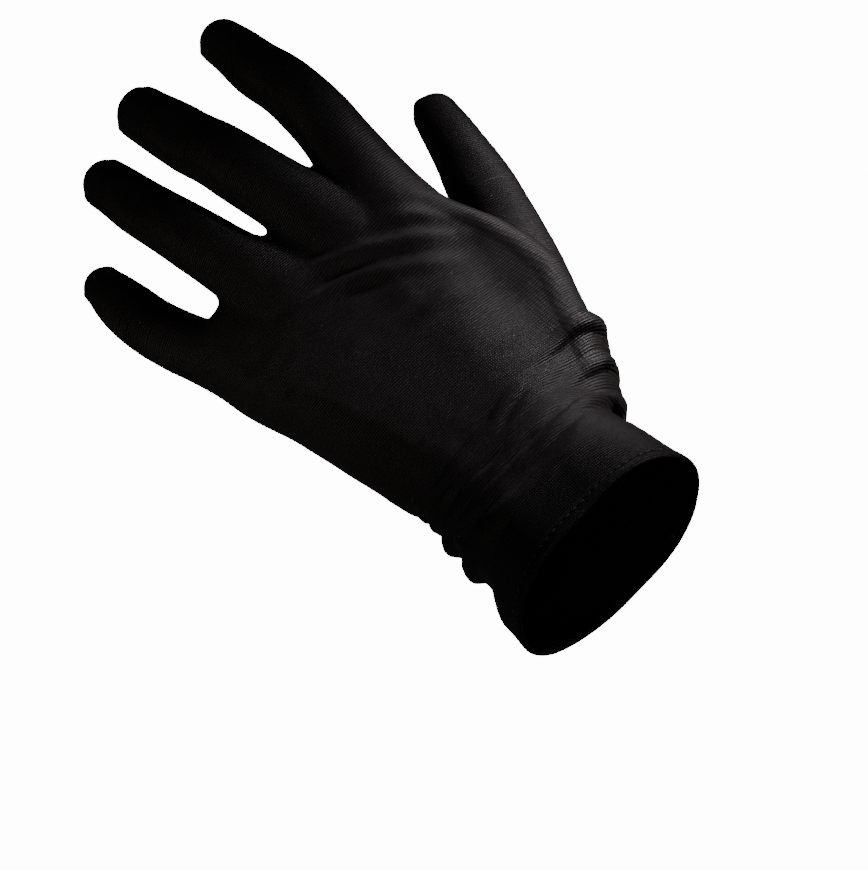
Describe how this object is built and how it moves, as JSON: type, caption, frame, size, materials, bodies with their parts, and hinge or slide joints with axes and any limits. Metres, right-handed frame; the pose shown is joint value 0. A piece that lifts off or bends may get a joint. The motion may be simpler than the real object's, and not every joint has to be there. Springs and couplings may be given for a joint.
{
  "type": "dress glove",
  "caption": "Wrist-length stretch satin dress glove for the left hand, holding the shape of a worn hand, hemmed at the cuff.",
  "frame": {"origin": "centre of the cuff's opening", "axes": "+Y from the opening to the fingertips, +X to the thumb side, +Z out of the back of the hand"},
  "size_m": [0.1268, 0.2249, 0.0718],
  "materials": {
    "satin": "satin",
    "satin_fold": "satin",
    "thread": "satin"
  },
  "bodies": {
    "cuff": {"cuff_back": "satin", "cuff_palm": "satin", "gathers_back": "satin_fold", "gathers_palm": "satin_fold", "hem_band": "satin", "hem_stitches": "thread"},
    "hand": {"hand_back": "satin", "hand_palm": "satin", "thumb_root": "satin", "palm_crease": "satin_fold", "thumb_root_crease": "satin_fold"},
    "knuckles": {"knuckles_back": "satin", "knuckles_palm": "satin", "fourchette_index_middle": "satin", "fourchette_middle_ring": "satin", "fourchette_ring_little": "satin", "index_mid_crease": "satin_fold", "middle_mid_crease": "satin_fold", "ring_mid_crease": "satin_fold", "little_mid_crease": "satin_fold"},
    "thumb_base": {"thumb_base_back": "satin", "thumb_base_palm": "satin", "thumb_end_crease": "satin_fold"},
    "thumb_end": {"thumb_end_back": "satin", "thumb_end_palm": "satin"},
    "index_mid": {"index_mid_back": "satin", "index_mid_palm": "satin", "index_mid_fourchette_little_side": "satin", "index_end_crease": "satin_fold"},
    "index_end": {"index_end_back": "satin", "index_end_palm": "satin", "index_end_fourchette_little_side": "satin"},
    "middle_mid": {"middle_mid_back": "satin", "middle_mid_palm": "satin", "middle_mid_fourchette_thumb_side": "satin", "middle_mid_fourchette_little_side": "satin", "middle_end_crease": "satin_fold"},
    "middle_end": {"middle_end_back": "satin", "middle_end_palm": "satin", "middle_end_fourchette_thumb_side": "satin", "middle_end_fourchette_little_side": "satin"},
    "ring_mid": {"ring_mid_back": "satin", "ring_mid_palm": "satin", "ring_mid_fourchette_thumb_side": "satin", "ring_mid_fourchette_little_side": "satin", "ring_end_crease": "satin_fold"},
    "ring_end": {"ring_end_back": "satin", "ring_end_palm": "satin", "ring_end_fourchette_thumb_side": "satin", "ring_end_fourchette_little_side": "satin"},
    "little_mid": {"little_mid_back": "satin", "little_mid_palm": "satin", "little_mid_fourchette_thumb_side": "satin", "little_end_crease": "satin_fold"},
    "little_end": {"little_end_back": "satin", "little_end_palm": "satin", "little_end_fourchette_thumb_side": "satin"}
  },
  "joints": [
    {"name": "wrist_bend", "type": "hinge", "parent": "cuff", "child": "hand", "pos_m": [-0.00289, 0.03757, -0.01484], "axis": [-1, 0, 0], "range_deg": [-25, 60], "deforming": ["gathers_back", "gathers_palm"]},
    {"name": "knuckle_bend", "type": "hinge", "parent": "hand", "child": "knuckles", "pos_m": [-0.00789, 0.11582, -0.01909], "axis": [-0.992, -0.104, -0.072], "range_deg": [-8, 55], "deforming": ["palm_crease"]},
    {"name": "index_middle_bend", "type": "hinge", "parent": "knuckles", "child": "index_mid", "pos_m": [0.02771, 0.16273, -0.01663], "axis": [-1, 0.0003, 0.0009], "range_deg": [-6, 70], "deforming": ["index_mid_crease"]},
    {"name": "index_end_bend", "type": "hinge", "parent": "index_mid", "child": "index_end", "pos_m": [0.02498, 0.18876, -0.01898], "axis": [-0.9945, -0.1045, 0], "range_deg": [-4, 48], "deforming": ["index_end_crease"]},
    {"name": "middle_middle_bend", "type": "hinge", "parent": "knuckles", "child": "middle_mid", "pos_m": [-0.00119, 0.16678, -0.01517], "axis": [-0.9738, -0.2274, 0.0002], "range_deg": [-6, 70], "deforming": ["middle_mid_crease"]},
    {"name": "middle_end_bend", "type": "hinge", "parent": "middle_mid", "child": "middle_end", "pos_m": [-0.00711, 0.19089, -0.01988], "axis": [-0.9711, -0.2385, 0], "range_deg": [-4, 48], "deforming": ["middle_end_crease"]},
    {"name": "ring_middle_bend", "type": "hinge", "parent": "knuckles", "child": "ring_mid", "pos_m": [-0.026, 0.16017, -0.01564], "axis": [-0.9722, -0.2343, -0.0001], "range_deg": [-6, 70], "deforming": ["ring_mid_crease"]},
    {"name": "ring_end_bend", "type": "hinge", "parent": "ring_mid", "child": "ring_end", "pos_m": [-0.03149, 0.18339, -0.0201], "axis": [-0.9732, -0.23, 0], "range_deg": [-4, 48], "deforming": ["ring_end_crease"]},
    {"name": "little_middle_bend", "type": "hinge", "parent": "knuckles", "child": "little_mid", "pos_m": [-0.05157, 0.14392, -0.02155], "axis": [-0.9561, -0.2931, -0.0023], "range_deg": [-6, 70], "deforming": ["little_mid_crease"]},
    {"name": "little_end_bend", "type": "hinge", "parent": "little_mid", "child": "little_end", "pos_m": [-0.05534, 0.16156, -0.02442], "axis": [-0.9781, -0.2079, 0], "range_deg": [-4, 48], "deforming": ["little_end_crease"]},
    {"name": "thumb_base_bend", "type": "hinge", "parent": "hand", "child": "thumb_base", "pos_m": [0.03768, 0.08522, -0.03827], "axis": [-0.4929, 0.3153, 0.811], "range_deg": [-8, 35], "deforming": ["thumb_root_crease"]},
    {"name": "thumb_end_bend", "type": "hinge", "parent": "thumb_base", "child": "thumb_end", "pos_m": [0.04904, 0.11823, -0.03768], "axis": [-0.557, 0.1413, 0.8184], "range_deg": [-8, 60], "deforming": ["thumb_end_crease"]}
  ],
  "couplings": [
    {"joint": "index_end_bend", "follows": "index_middle_bend", "ratio": 0.66},
    {"joint": "middle_end_bend", "follows": "middle_middle_bend", "ratio": 0.66},
    {"joint": "ring_end_bend", "follows": "ring_middle_bend", "ratio": 0.66},
    {"joint": "little_end_bend", "follows": "little_middle_bend", "ratio": 0.66}
  ]
}
